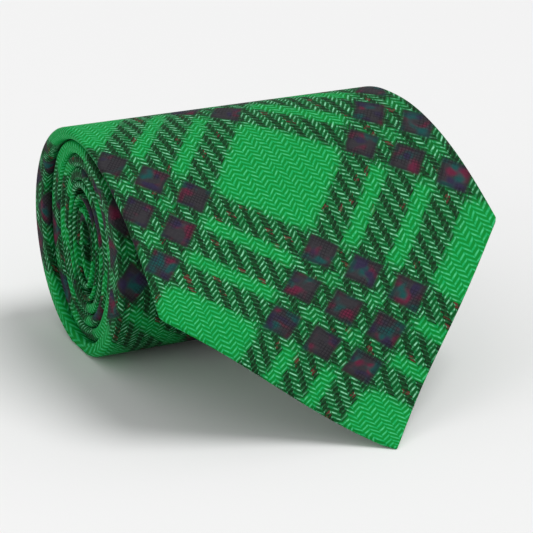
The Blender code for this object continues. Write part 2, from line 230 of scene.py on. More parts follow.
def opening(s):
    """Half the width that the flaps leave open on the back."""
    rest = TIE_LENGTH - s
    blade_share = (s - BLADE_POINT) / (OPENING_BLADE - BLADE_POINT)
    tail_share = (rest - TAIL_POINT) / (OPENING_TAIL - TAIL_POINT)
    wide = np.maximum(
        mix(BLADE_WIDTH / 2 - HEM_ACROSS, SEAM_GAP / 2, blade_share),
        mix(TAIL_WIDTH / 2 - HEM_ACROSS, SEAM_GAP / 2, tail_share),
    )
    narrowest = np.minimum(np.maximum(SEAM_GAP / 2, wide), half_width(s) - HEM_ACROSS)
    return np.maximum(SEAM_GAP / 4, narrowest)


TOP_HALF = float(half_width(np.array(FREE_LENGTH)))


def blade_centre(s):
    """Where the blade's centre line lies, to the side of the roll's middle."""
    return half_width(s) - TOP_HALF + INNER_INSET * smooth(s, 2 * FREE_LENGTH, 3 * FREE_LENGTH)


def centre_x(s):
    """The blade's left edge stays flush with the roll's end. The tail drifts to the middle."""
    at_fold = blade_centre(np.array(FOLD_S - MM))
    tail = mix(at_fold, TAIL_X, (s - FOLD_S) / (TIE_LENGTH - FOLD_S))
    return np.where(s < FOLD_S, blade_centre(s), tail)


print(f"tie {2 * TOP_HALF / MM:.0f} mm wide at the top of the roll")

# %% [markdown]
# ## The drawn-out end
#
# Cloth that is lifted over a roll falls in one smooth curve. It leaves the top level, drops more
# and more steeply, and eases out as its point comes down on the table. Bias-cut cloth also leans,
# so the left corner of the blade hangs nearer the table than the right one. The slopes are all
# scaled by one factor, which is found by halving, so that the point just reaches the table.

# %% Profile of the drawn-out end
SLOPES_DEG = (0, 18, 32, 40, 59, 28)
SLANT, SLANT_LENGTH = math.radians(-6.9), 60 * MM
PROFILE_STEP, PROFILE_OVER = 0.5 * MM, 15 * MM
NEAR_POINT, POINT_CLEAR = 2 * MM, 0.2 * MM


def slopes(length):
    """Downward slope at these lengths from the top of the roll, smooth through SLOPES_DEG."""
    last = len(SLOPES_DEG) - 1
    spot = np.clip(length / FREE_LENGTH * last, 0, last - 1e-6)
    first = spot.astype(int)
    part = spot - first
    steps = np.radians(SLOPES_DEG)
    padded = np.concatenate([steps[:1], steps, steps[-1:]])
    low, high = steps[first], steps[first + 1]
    lean_low, lean_high = (high - padded[first]) / 2, (padded[first + 3] - low) / 2
    slope = (2 * part**3 - 3 * part**2 + 1) * low + (part**3 - 2 * part**2 + part) * lean_low
    return slope + (3 * part**2 - 2 * part**3) * high + (part**3 - part**2) * lean_high


def end_profile(steepness):
    """Lengths, y, z and slope down the end, from before the roll's top to past the point."""
    length = np.arange(-PROFILE_OVER, FREE_LENGTH + PROFILE_OVER, PROFILE_STEP)
    slope = np.where(length > 0, slopes(length) * steepness, 0.0)
    y = PROFILE_OVER - np.concatenate([[0], np.cumsum(np.cos(slope[:-1]))]) * PROFILE_STEP
    z = TOP_Z - np.concatenate([[0], np.cumsum(np.sin(slope[:-1]))]) * PROFILE_STEP
    return length, y, z, slope


low, high, halvings = 0.5, 1.8, 30
for _ in range(halvings):
    steepness = (low + high) / 2
    length, y, z, slope = end_profile(steepness)
    back = np.interp(FREE_LENGTH - NEAR_POINT, length, z - PLY * np.cos(slope))
    low, high = (steepness, high) if back > POINT_CLEAR else (low, steepness)
PROFILE = end_profile(high)
print(f"slopes scaled by {high:.3f}, point {FREE_LENGTH / MM:.0f} mm from the top of the roll")


def place(s, a, depth):
    """Bends points of the flat tie on to the rolled one."""
    s, a, depth = np.broadcast_arrays(*(np.asarray(value, float) for value in (s, a, depth)))
    length = FREE_LENGTH - s
    slant = SLANT * smooth(length, 0, SLANT_LENGTH)
    down = length + a * np.sin(slant)
    y, z, slope = (np.interp(down, PROFILE[0], column) for column in PROFILE[1:])
    end = np.stack([
        a * np.cos(slant),
        y + np.sin(slope) * depth,
        z - np.cos(slope) * depth,
    ], -1)
    middle_y, middle_z = (np.interp(s, route_s, route_middle[:, axis]) for axis in (0, 1))
    normal_y, normal_z = (np.interp(s, route_s, route_normal[:, axis]) for axis in (0, 1))
    size = np.hypot(normal_y, normal_z)
    out = PLY / 2 - depth
    roll = np.stack([
        centre_x(s) + a,
        middle_y + normal_y / size * out,
        middle_z + normal_z / size * out,
    ], -1)
    return np.where((s < FREE_LENGTH)[..., None], end, roll)


# %% [markdown]
# ## Helpers for cloth
#
# Cloth is one surface with a thickness. The plain way to make it is Blender's grid primitive: laid
# out flat, one column for each thread line across and one row for each station along, then every
# point moved to where the bent cloth has it. The map of the print is written from the flat
# measures, so the pattern is never stretched by the bending. Solidify gives the wall, and it is
# applied.

# %% Cloth helpers
PRINT_STEP = 8.95 * MM
PRINT_START, PRINT_UNIT = 39 * MM, 50 * MM
BACK_SHIFT, BACK_FROM, BACK_TO = 2, (8 * MM, 35 * MM), (195 * MM, 240 * MM)
CLOTH_CREASE = math.radians(50)


def active(obj):
    """Selects this object alone, for the operators that follow."""
    bpy.ops.object.select_all(action="DESELECT")
    obj.select_set(True)
    bpy.context.view_layer.objects.active = obj


def print_map(s, cut):
    """Where a spot of the cut cloth lies in the print, in steps of its checks.

    The print runs a little out of true near the point, closer along and leaning, and it settles
    to its even step once the cloth is on the roll. Behind the roll it lies two checks further on.
    """
    across = cut / PRINT_UNIT
    along = (np.minimum(s, FREE_LENGTH) - PRINT_START) / PRINT_UNIT
    u = 0.23 + 5.48 * across - 0.37 * across**2 + (0.21 + 0.1 * across - 0.08 * along) * along
    lean = 1 - smooth(s, FREE_LENGTH, 2 * FREE_LENGTH)
    v = (6.16 - 0.67 * along) * along + (0.43 - 1.16 * along - 0.13 * across) * across * lean
    past_top = np.maximum(s - FREE_LENGTH, 0)
    at_back = smooth(past_top, *BACK_FROM) * (1 - smooth(s, *BACK_TO))
    return u, v + past_top / PRINT_STEP + BACK_SHIFT * at_back


print(f"checks {PRINT_STEP / MM:.2f} mm apart on the roll")

# %% Grid, wall and body of a piece of cloth


def bent_grid(name, points, u, v):
    """A grid primitive with a row for each station, moved on to points, with its map."""
    rows, columns = points.shape[:2]
    bpy.ops.object.select_all(action="DESELECT")
    bpy.ops.mesh.primitive_grid_add(x_subdivisions=columns - 1, y_subdivisions=rows - 1, size=1)
    obj = bpy.context.object
    obj.name = obj.data.name = name
    flat = np.empty(len(obj.data.vertices) * 3, np.float32)
    obj.data.vertices.foreach_get("co", flat)
    flat = flat.reshape(-1, 3)
    column = np.rint((flat[:, 0] + 0.5) * (columns - 1)).astype(int)
    row = np.rint((flat[:, 1] + 0.5) * (rows - 1)).astype(int)
    obj.data.vertices.foreach_set("co", points[row, column].astype(np.float32).ravel())
    corner = np.empty(len(obj.data.loops), np.int32)
    obj.data.loops.foreach_get("vertex_index", corner)
    both = np.stack([u[row, column], v[row, column]], -1)[corner]
    layer = obj.data.uv_layers[0] if obj.data.uv_layers else obj.data.uv_layers.new()
    layer.name = "print"
    layer.data.foreach_set("uv", both.astype(np.float32).ravel())
    obj.data.update()
    return obj


def thicken(obj, wall, material, flip):
    """Turns the cloth's good side out, thickens it inwards by wall, and shades it smooth."""
    active(obj)
    if flip:
        obj.data.flip_normals()
    solid = obj.modifiers.new("wall", "SOLIDIFY")
    solid.thickness = wall
    solid.offset = -1
    solid.use_even_offset = False
    bpy.ops.object.modifier_apply(modifier="wall")
    bpy.ops.object.shade_smooth_by_angle(angle=CLOTH_CREASE)
    obj.data.materials.clear()
    obj.data.materials.append(material)


def facing_in_at(obj, s, a, depth=0.0):
    """True if the cloth's face that is nearest this spot points towards the tie's back."""
    spot, deeper = Vector(place(s, a, depth)), Vector(place(s, a, depth + MM))
    nearest = min(obj.data.polygons, key=lambda face: (face.center - spot).length_squared)
    return nearest.normal.dot(spot - deeper) < 0


def stand_in(obj, node, body):
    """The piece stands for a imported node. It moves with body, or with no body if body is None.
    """
    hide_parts(node)
    if body is None:
        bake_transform(obj)
    else:
        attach(obj, body)


# %% [markdown]
# ## Colours
#
# The print is a tartan on the bias over a herringbone twill. Tartan is simple: the same stripes
# run both ways. Where two dark stripes cross, both sets of yarn are dark, which gives a solid
# square. Where one dark stripe crosses the green ground, only the legs of the herringbone that run
# along with it turn dark. So one node group can make it all from two stripe masks and the zigzag.
#
# A node group is built once and placed in each cloth's material. The small helper below writes
# math nodes from left to right, so the rule reads as it would on paper.

# %% Node helpers


def linear(red, green, blue):
    """A colour as a dyer's chart gives it, 0 to 255, in the renderer's own light values."""
    shares = (red / 255, green / 255, blue / 255)
    return tuple(
        share / 12.92 if share <= 0.04045 else ((share + 0.055) / 1.055) ** 2.4
        for share in shares
    ) + (1.0,)


class Wires:
    """Adds nodes to a tree. Numbers and sockets may both be inputs."""

    def __init__(self, tree):
        self.tree = tree

    def put(self, socket, value):
        if isinstance(value, bpy.types.NodeSocket):
            self.tree.links.new(value, socket)
        else:
            socket.default_value = value

    def new(self, kind, *values, **settings):
        """A node of this kind, with these settings, and these values in its first inputs."""
        node = self.tree.nodes.new("ShaderNode" + kind)
        for setting, value in settings.items():
            setattr(node, setting, value)
        for socket, value in zip(node.inputs, values):
            self.put(socket, value)
        return node

    def math(self, operation, *values):
        return self.new("Math", *values, operation=operation).outputs[0]

    def times(self, product, *factors):
        for factor in factors:
            product = self.math("MULTIPLY", product, factor)
        return product

    def less(self, value, other):
        return self.math("SUBTRACT", value, other)

    def line(self, value, rise, start):
        """start, and rise more for each whole step of value."""
        return self.math("MULTIPLY_ADD", value, rise, start)

    def step(self, value, low, high):
        """0 below low and 1 above high, with a soft edge; low may be above high."""
        node = self.new("MapRange", value, low, high, interpolation_type="SMOOTHSTEP")
        return node.outputs["Result"]

    def blend(self, share, first, second, kind="MIX"):
        node = self.new("Mix", share, data_type="RGBA", blend_type=kind)
        self.put(node.inputs[6], first)
        self.put(node.inputs[7], second)
        return node.outputs[2]

    def noise(self, vector, scale, detail=2.0, roughness=0.5):
        node = self.new("TexNoise", vector)
        node.inputs["Scale"].default_value = scale
        node.inputs["Detail"].default_value = detail
        node.inputs["Roughness"].default_value = roughness
        return node.outputs

    def chance(self, x, y):
        """An even chance from 0 to 1, its own for each pair of numbers."""
        pair = self.new("CombineXYZ", x, y).outputs[0]
        return self.new("TexWhiteNoise", pair, noise_dimensions="2D").outputs["Value"]

    def split(self, value, kind="SeparateXYZ"):
        return self.new(kind, value).outputs


print("plain green:", np.round(linear(18, 166, 90), 3))

# %% New node group


def new_group(name, inputs, outputs):
    """A node group with these {name: kind} inputs and outputs, and wires for its nodes."""
    tree = bpy.data.node_groups.new(name, "ShaderNodeTree")
    for in_out, kinds in (("INPUT", inputs), ("OUTPUT", outputs)):
        for label, kind in kinds.items():
            tree.interface.new_socket(label, in_out=in_out, socket_type="NodeSocket" + kind)
    ends = tree.nodes.new("NodeGroupInput").outputs, tree.nodes.new("NodeGroupOutput").inputs
    print("group", name, "takes", list(inputs), "and gives", list(outputs))
    return tree, Wires(tree), *ends


# %% [markdown]
# ## Yarn grain
#
# Seen close, every thread is a few fibres that catch the light unevenly. One group gives that
# grain to the print, the lining, the labels and the thread alike: fine bumps, and a small change
# in how light each fibre is.

# %% Yarn grain group
grain_group, w, taken, given = new_group(
    "yarn_grain",
    {"Vector": "Vector", "Scale": "Float"},
    {"Lightness": "Float", "Height": "Float"},
)
scaled = w.new("VectorMath", taken["Vector"], operation="SCALE")
w.put(scaled.inputs["Scale"], taken["Scale"])
fibre = w.noise(scaled.outputs[0], 1.0, detail=3.0, roughness=0.6)["Fac"]
w.put(given["Height"], fibre)
w.put(given["Lightness"], w.line(fibre, 0.5, 0.75))
print("yarn grain:", len(grain_group.nodes), "nodes")

# %% [markdown]
# ## The tartan's herringbone
#
# The input is the place in the print, in steps of the checks. Each zigzag is 0.452 steps wide,
# about 4 mm, and its strokes lie 1.6 mm apart. No two strokes are printed quite alike, so the
# place wobbles a little, each leg is shifted by chance, and each stroke has a chance of its own.
# To model each yarn would take millions of faces, so nodes work the weave out instead.

# %% Tartan group: place and zigzag
ZIGZAG, STROKE = 0.452, 0.178
WOBBLE_ACROSS, WOBBLE_ALONG = 0.07, 0.12
tartan_group, w, taken, given = new_group(
    "herringbone_tartan",
    {"Print": "Vector"},
    {"Color": "Color", "Height": "Float", "Roughness": "Float"},
)
spot = taken["Print"]
even = w.split(spot)
wobble = w.split(w.noise(spot, 1.7, detail=1.0)["Color"], "SeparateColor")
u = w.line(wobble[0], WOBBLE_ACROSS, w.less(even[0], WOBBLE_ACROSS / 2))
v = w.line(wobble[1], WOBBLE_ALONG, w.less(even[1], WOBBLE_ALONG / 2))

turns_across = w.math("DIVIDE", w.less(u, 0.02 - ZIGZAG / 2), ZIGZAG)
from_peak = w.less(w.math("FRACT", turns_across), 0.5)
leg = w.math("GREATER_THAN", from_peak, 0.0)
other_leg = w.less(1.0, leg)
reach = w.times(w.math("ABSOLUTE", from_peak), 2.0)
leg_number = w.math("FLOOR", w.times(turns_across, 2.0))
leg_chance = w.chance(leg_number, 5.5)
leg_shift = w.line(leg_chance, 0.36, w.times(leg, 0.3))
slope = w.line(reach, 1.02, w.math("DIVIDE", v, STROKE))
phase = w.math("ADD", slope, leg_shift)
on_stroke, stroke_number = w.math("FRACT", phase), w.math("FLOOR", phase)
chance = w.chance(leg_number, stroke_number)
other_chance = w.chance(w.math("ADD", leg_number, 71.3), stroke_number)
print("zigzag:", len(tartan_group.nodes), "nodes")

# %% [markdown]
# A stroke stands up from the cloth, and a bright yarn runs down its middle. That yarn stops short
# of the zigzag's turns, and it is broken here and there.

# %% Tartan group: raised strokes and bright yarns
from_middle = w.math("ABSOLUTE", w.less(on_stroke, 0.5))
raised = w.step(from_middle, 0.34, 0.1)
broken = w.noise(spot, 7.0, detail=1.0)["Fac"]
bright = w.times(
    w.step(from_middle, 0.24, 0.06),
    w.step(reach, 1.02, 0.8),
    w.step(reach, 0.0, 0.18),
    w.line(chance, 0.6, 0.4),
    w.step(broken, 0.34, 0.62),
)
print("strokes:", len(tartan_group.nodes), "nodes")

# %% [markdown]
# ## The tartan's stripes
#
# Two sets of stripes cross on the bias: three dark stripes, a step apart and a little under two
# thirds of a step wide, and then two steps of plain ground. Each stroke takes its colour at its
# own middle, so the edges of a stripe are stepped, as in a real weave.

# %% Tartan group: stripes and where they cross
STRIPE_HALF, SETT = 0.325, 5.0


def stripes(across, half, soft):
    """1 on three stripes in every five steps."""
    to_stripe = w.math("ABSOLUTE", w.less(across, w.math("ROUND", across)))
    sett = w.math("ROUND", w.math("DIVIDE", across, SETT))
    to_sett = w.math("ABSOLUTE", w.less(across, w.times(sett, SETT)))
    return w.times(w.step(to_stripe, half + soft, half - soft), w.step(to_sett, 1.55, 1.45))


def crossing(half, soft):
    """1 where a stripe of one set crosses a stripe of the other."""
    return w.times(stripes(across_p, half, soft), stripes(across_q, half, soft))


settled = w.less(v, w.times(w.less(on_stroke, 0.5), STROKE))
falling = stripes(w.times(w.math("ADD", u, settled), 0.5), STRIPE_HALF, 0.05)
rising = stripes(w.times(w.less(u, settled), 0.5), STRIPE_HALF, 0.05)
across_p, across_q = w.times(w.math("ADD", u, v), 0.5), w.times(w.less(u, v), 0.5)
square = crossing(0.33, 0.05)
one_way = w.times(w.math("MAXIMUM", falling, rising), w.less(1.0, square))
print("stripes:", len(tartan_group.nodes), "nodes")

# %% [markdown]
# The ground is plain green. Under the stripes, and a little to each side of them, it is deeper and
# cooler, because half of its yarns are the stripes' own.

# %% Tartan group: ground
ground = w.blend(raised, linear(4, 134, 48), linear(18, 166, 90))
ground = w.blend(w.times(bright, 0.75), ground, linear(84, 204, 140))
under = w.blend(raised, linear(8, 72, 30), linear(18, 112, 60))
under = w.blend(bright, under, linear(150, 222, 184))
beside = w.math("MAXIMUM", stripes(across_p, 0.45, 0.08), stripes(across_q, 0.45, 0.08))
cool = w.math("MAXIMUM", w.times(one_way, 0.9), w.times(beside, 0.24))
cool = w.math("MAXIMUM", cool, w.times(crossing(0.6, 0.05), 0.6))
colour = w.blend(cool, ground, under)
print("ground:", len(tartan_group.nodes), "nodes")

# %% [markdown]
# Where a stripe crosses plain ground, only the legs that run along with it are dark: bottle green
# and near black, with a few red yarns. The dark stops just inside the zigzag's turns.

# %% Tartan group: dark legs
legs = w.math("ADD", w.times(falling, leg), w.times(rising, other_leg))
dark_leg = w.times(
    w.math("MINIMUM", legs, 1.0),
    one_way,
    w.step(w.line(raised, -0.13, reach), 0.0, 0.08),
    w.step(w.line(raised, 0.16, reach), 1.08, 0.98),
)
fleck = w.noise(spot, 11.0, detail=1.0)["Fac"]
deep = w.blend(w.step(fleck, 0.4, 0.62), linear(14, 40, 20), linear(14, 70, 32))
red = w.times(w.math("GREATER_THAN", other_chance, 0.9), w.step(broken, 0.45, 0.6))
deep = w.blend(red, deep, linear(96, 36, 38))
deep = w.blend(w.times(bright, 0.5), deep, linear(40, 116, 70))
colour = w.blend(w.times(dark_leg, 0.95), colour, deep)
print("dark legs:", len(tartan_group.nodes), "nodes")

# %% [markdown]
# The squares are solid: soft patches of plum, slate and deep teal, darker towards the rim, and
# crossed by fine dark yarns there. Colour that follows a broad noise gives such patches.

# %% Tartan group: squares
HATCH = 14.0
patch = w.split(w.noise(spot, 1.8, detail=1.0)["Color"], "SeparateColor")
inky = w.blend(w.step(patch[0], 0.5, 0.68), linear(52, 50, 54), linear(98, 32, 56))
inky = w.blend(w.step(patch[1], 0.52, 0.68), inky, linear(22, 76, 74))
inky = w.blend(w.step(patch[2], 0.54, 0.7), inky, linear(46, 40, 66))
rim = w.less(1.0, crossing(0.25, 0.07))
inky = w.blend(w.times(rim, 0.6), inky, linear(30, 30, 32))
yarns = [w.step(w.math("PINGPONG", w.times(across, HATCH), 0.5), 0.3, 0.45)
         for across in (across_p, across_q)]
here_and_there = w.step(w.noise(spot, 1.3)["Fac"], 0.42, 0.56)
crossed = w.times(w.math("MAXIMUM", *yarns), here_and_there)
inky = w.blend(w.times(crossed, 0.6), inky, linear(22, 18, 24))
near = crossing(0.44, 0.03)
colour = w.blend(w.times(near, crossed, 0.8), colour, linear(20, 44, 32))
colour = w.blend(square, colour, inky)

w.put(given["Color"], colour)
w.put(given["Height"], w.times(raised, w.less(1.0, w.times(square, 0.7))))
w.put(given["Roughness"], w.line(raised, -0.12, 0.74))
print("tartan group:", len(tartan_group.nodes), "nodes")

# %% [markdown]
# ## The tartan cloth's finish
#
# A printed microfibre twill is matt: it has next to no gloss, and no sheen. A value like that,
# which is the same all over, is set on the shader itself. The strokes of the herringbone stand up
# a tenth of a millimetre, which a Bump node gives, with the yarn grain on top.

# %% Tartan material


def new_material(name, roughness, sheen=0.0, gloss=0.25):
    """Returns a material, the wires for its nodes, and its shader."""
    material = bpy.data.materials.new(name)
    material.use_nodes = True
    shader = material.node_tree.nodes["Principled BSDF"]
    for label, value in (("Roughness", roughness), ("Sheen Weight", sheen),
                         ("Sheen Roughness", 0.4), ("Specular IOR Level", gloss)):
        shader.inputs[label].default_value = value
    return material, Wires(material.node_tree), shader


def use_group(wires, group, **values):
    """Places a group, and returns its outputs."""
    node = wires.new("Group", node_tree=group)
    for name, value in values.items():
        wires.put(node.inputs[name], value)
    return node.outputs


def bump(wires, height, distance, strength, normal=None):
    """A normal tilted by this height, on top of another normal if there is one."""
    node = wires.new("Bump")
    node.inputs["Distance"].default_value = distance
    node.inputs["Strength"].default_value = strength
    wires.put(node.inputs["Height"], height)
    if normal is not None:
        wires.put(node.inputs["Normal"], normal)
    return node.outputs[0]


tartan, w, shader = new_material("tartan_twill", 0.7, gloss=0.08)
spot = w.new("UVMap", uv_map="print").outputs[0]
cloth = use_group(w, tartan_group, Print=spot)
grain = use_group(w, grain_group, Vector=spot, Scale=60.0)
w.put(shader.inputs["Base Color"], cloth["Color"])
w.put(shader.inputs["Roughness"], cloth["Roughness"])
relief = bump(w, cloth["Height"], 0.12 * MM, 0.8)
w.put(shader.inputs["Normal"], bump(w, grain["Height"], 0.04 * MM, 0.6, relief))
print("material", tartan.name)

# %% [markdown]
# ## The folded edges
#
# Across the tie, the cloth runs from one flap on the back, round the left fold, over the good
# face, round the right fold and in to the other flap. A bought tie's folds are rolled and not
# pressed, so on the roll they puff out and fill the space between one turn and the next. The puff
# is widest where the turns are loose, and it fades out within a centimetre on the left, and sooner
# on the right.

# %% Thickness at the folds
FOLD_ROUND, FOLD_SLACK = 1.3 * MM, 0.15 * MM
EDGE_SPACE, INSET_SPACE = 0.25 * MM, 0.8 * MM
PUFF_REACH, SHORT_REACH = 9 * MM, 2.5 * MM
RIGHT_PUFF = 4 * MM
PUFF_FROM, PUFF_TO, PUFF_END = FREE_LENGTH - 12 * MM, FREE_LENGTH + 10 * MM, FOLD_S - 20 * MM
# How far round the roll each stop of the route is. The tail counts back down.
route_turns = np.concatenate([blade_turns, np.full(len(fold_middle), TURNS), tail_turns])


def fold_thickness(s, side):
    """(thickness at the left or right fold, how far in it fades): side is -1 or 1."""
    turn = np.interp(s, route_s, route_turns)
    here, normal = face_point(turn), face_normal(turn)
    pitch = np.abs(((here - face_point(turn + 1)) * normal).sum(1)) - EDGE_SPACE
    tail_s = np.interp(turn, tail_turns[::-1], route_s[-len(tail_turns):][::-1])
    tail_edge = centre_x(tail_s) + side * half_width(tail_s)
    blade_edge = centre_x(s) + side * half_width(s)
    inset = np.abs(blade_edge - tail_edge)
    flat = PLY + 0.1 * MM
    full = mix(flat, np.maximum(pitch, flat), smooth(inset, 3 * MM, 8 * MM))
    if side > 0:
        full = np.minimum(full, RIGHT_PUFF)
    on_roll = smooth(s, PUFF_FROM, PUFF_TO) * (s < PUFF_END)
    thickness = mix(PLY + FOLD_SLACK, full, on_roll)
    widest = PUFF_REACH if side < 0 else SHORT_REACH
    reach = np.clip(inset - INSET_SPACE, SHORT_REACH, widest)
    near_point = np.clip(np.minimum(s, TIE_LENGTH - s) / (2.5 * MM), 0.35, 1)
    return thickness * near_point, reach


print(f"folds puff out from {PUFF_FROM / MM:.0f} to {PUFF_END / MM:.0f} mm along the tie")

# %% [markdown]
# ## The envelope of tartan cloth
#
# Each station along the tie has one cross section: a line of points that starts at the left flap's
# edge and ends at the right flap's. The line's own length is what the cloth measured before it was
# folded, so it also says where each point lies in the print. On the roll the stations are close
# together, because a coarse step would let one turn's chords cut into the next turn.

# %% Cross section of the envelope
FOLD_STEPS, FLAP_CROWDING = 6, 1.3


def cross_section(s, columns, flap_columns):
    """a, depth and cut measure of the envelope's points, a row for each s."""
    half, open_half = half_width(s)[:, None], opening(s)[:, None]
    sides = []
    for side in (-1, 1):
        thick, reach = (value[:, None] for value in fold_thickness(s, side))
        turn = np.minimum(np.minimum(thick / 2, FOLD_ROUND), half * 0.4)
        quarter = np.linspace(0, math.pi / 2, FOLD_STEPS)[None]
        front, back = turn * (1 - np.cos(quarter)), turn * (1 - np.sin(quarter))
        inward, depth = np.concatenate([back, front], 1), np.concatenate([front, thick - back], 1)
        share = np.linspace(0, 1, flap_columns)[None, 1:] ** FLAP_CROWDING
        end = np.maximum(half - open_half, turn + 0.2 * MM)
        flap = turn + (end - turn) * share
        ply = np.minimum(PLY, thick)
        flap_depth = ply + (thick - ply) * (1 - smooth(flap, turn, reach + turn))
        inward, depth = np.concatenate([inward, flap], 1), np.concatenate([depth, flap_depth], 1)
        sides.append((side * (half - inward), depth, turn))
    left, right = sides
    face = mix(-(half - left[2]), half - right[2], np.linspace(0, 1, columns)[None, 1:-1])
    a = np.concatenate([left[0][:, ::-1], face, right[0]], 1)
    depth = np.concatenate([left[1][:, ::-1], np.zeros_like(face), right[1]], 1)
    steps = np.hypot(np.diff(a, axis=1), np.diff(depth, axis=1))
    cut = np.concatenate([np.zeros_like(half), np.cumsum(steps, axis=1)], 1)
    first_face = left[0].shape[1] - 1
    cut = cut - cut[:, first_face : first_face + 1] + a[:, first_face : first_face + 1]
    return a, depth, cut


# %% Stations, and the envelope between two of them
FREE_STEP, ROLL_STEP = 1.3 * MM, 0.95 * MM


def rows_between(start, end):
    """Stations from start to end: even on the drawn-out end, the route's own on the roll."""
    free = []
    if start < FREE_LENGTH:
        free_end = min(end, FREE_LENGTH)
        free = np.linspace(start, free_end, max(int((free_end - start) / FREE_STEP), 1) + 1)
    step_number = ((route_s - FREE_LENGTH) / ROLL_STEP).astype(int)
    rolled = route_s[np.unique(step_number, return_index=True)[1]]
    rolled = rolled[(rolled > start + 0.2 * MM) & (rolled < end - 0.2 * MM)]
    return np.unique(np.concatenate([free, rolled, [start, end]]))


def envelope(name, start, end, columns, flap_columns):
    """A length of the tartan envelope. Returns it with its flat size and area."""
    s = rows_between(start, end)
    a, depth, cut = cross_section(s, columns, flap_columns)
    obj = bent_grid(name, place(s[:, None], a, depth), *print_map(s[:, None], cut))
    thicken(obj, CLOTH, tartan, facing_in_at(obj, s[len(s) // 2], 0.0))
    area = float(((cut[1:, -1] - cut[1:, 0]) * np.diff(s)).sum())
    flat = (float((cut[:, -1] - cut[:, 0]).max()), float(s[-1] - s[0]))
    print(f"{name}: cut {flat[0] / MM:.0f} x {flat[1] / MM:.0f} mm")
    return obj, flat, area


print(len(rows_between(0, TIE_LENGTH)), "stations")

# %% [markdown]
# ## The blade, the neck and the tail
#
# A tie is cut as three panels. The blade's panel is one piece on the real tie. Here it is parted
# at the very bottom of the first turn, where it lies on the table: what is before that moves with
# no body, and what is after stays with the roll.

# %% The tartan panels
BOTTOM_S = float(np.interp(0.5, blade_turns, route_s[: len(blade_turns)]))
TAIL_JOIN, TIP_CUT, HALF_GAP = TIE_LENGTH - TAIL_PANEL, 0.3 * MM, PANEL_GAP / 2
FINE_COLUMNS, ROLLED_COLUMNS = (60, 18), (34, 12)
for name, node, body, start, end in (
    ("blade_cloth", "blade_panel_end", None, TIP_CUT, BOTTOM_S),
    ("blade_cloth_rolled", "blade_panel_rolled", "roll", BOTTOM_S, BLADE_PANEL - HALF_GAP),
    ("neck_cloth", "neck_panel", "roll", BLADE_PANEL + HALF_GAP, TAIL_JOIN - HALF_GAP),
    ("tail_cloth", "tail_panel", "roll", TAIL_JOIN + HALF_GAP, TIE_LENGTH - TIP_CUT),
):
    columns, under = (ROLLED_COLUMNS, "floor") if body else (FINE_COLUMNS, "blade_cloth_rolled")
    panel, flat, area = envelope(name, start, end, *columns)
    stand_in(panel, node, body)

# %% [markdown]
# ## Plain cloths and thread
#
# The lining and the labels are satin: long floats that all run one way, so they shine in fine
# lines; each float's colour is also a little lighter or darker at random, a painted sheen. The
# interlining is brushed wool felt, which has no weave left to see. Thread is two strands twisted
# together. All of them take the yarn grain, at a scale that suits each.

# %% Satin group
FLOATS_PER_MM = 4.5
satin_group, w, taken, given = new_group(
    "satin_floats",
    {"Flat": "Vector", "Color": "Color"},
    {"Color": "Color", "Height": "Float"},
)
flat_place = w.split(taken["Flat"])
across = w.times(flat_place[0], FLOATS_PER_MM)
float_number = w.math("FLOOR", across)
float_start = w.chance(float_number, 3.7)
along = w.line(float_start, 9.0, w.times(flat_place[1], 0.8))
# Each float is made a little lighter or darker at random along its length: a painted sheen, on top
# of the shader's own gloss.
sheen_chance = w.chance(float_number, w.math("FLOOR", along))
painted_sheen = w.line(sheen_chance, 0.14, 0.92)
w.put(given["Color"], w.blend(1.0, taken["Color"], painted_sheen, "MULTIPLY"))
w.put(given["Height"], w.math("PINGPONG", across, 0.5))
print("satin floats:", len(satin_group.nodes), "nodes")

# %% Materials of the other pieces


def flat_material(name, colour, roughness, scale, depth, sheen, woven=True):
    """A cloth of one colour, whose map is in millimetres."""
    material, w, shader = new_material(name, roughness, sheen)
    spot = w.new("UVMap", uv_map="print").outputs[0]
    grain = use_group(w, grain_group, Vector=spot, Scale=scale)
    colour = w.blend(1.0, linear(*colour), grain["Lightness"], "MULTIPLY")
    relief = bump(w, grain["Height"], depth, 0.6)
    if woven:
        satin = use_group(w, satin_group, Flat=spot, Color=colour)
        colour = satin["Color"]
        relief = bump(w, satin["Height"], depth, 0.5, relief)
    w.put(shader.inputs["Base Color"], colour)
    w.put(shader.inputs["Normal"], relief)
    print("material", name)
    return material


NAP, FLOAT_RELIEF, STRAND_RELIEF = 0.12 * MM, 0.02 * MM, 0.05 * MM
felt = flat_material("interlining_felt", (214, 208, 192), 0.95, 2.2, NAP, 0.3, woven=False)
lining = flat_material("lining_satin", (22, 84, 48), 0.38, 3.0, FLOAT_RELIEF, 0.1)
label_satin = flat_material("label_satin", (40, 44, 48), 0.42, 3.0, FLOAT_RELIEF, 0.05)
care_satin = flat_material("care_label_satin", (232, 232, 228), 0.5, 3.0, FLOAT_RELIEF, 0.0)

thread_material, w, shader = new_material("green_thread", 0.6, sheen=0.1)
spot = w.new("TexCoord").outputs["Object"]
grain = use_group(w, grain_group, Vector=spot, Scale=6000.0)
dyed = w.blend(1.0, linear(40, 140, 74), grain["Lightness"], "MULTIPLY")
w.put(shader.inputs["Base Color"], dyed)
w.put(shader.inputs["Normal"], bump(w, grain["Height"], STRAND_RELIEF, 0.8))
print("material", thread_material.name)

# %% [markdown]
# ## The layers inside
#
# A layer is a flat sheet that lies at its own depth in the tie. The interlining fills the envelope
# nearly to its folds, and it gives the tie its weight and its roll. It shows at neither end, since
# the linings cover it. Like the blade, it is parted at the bottom of the first turn.

# %% Interlining
POINT_SHORT, FOLD_SHORT = 4 * MM, 0.6 * MM
FELT_DEPTH = CLOTH + LAYER_GAP


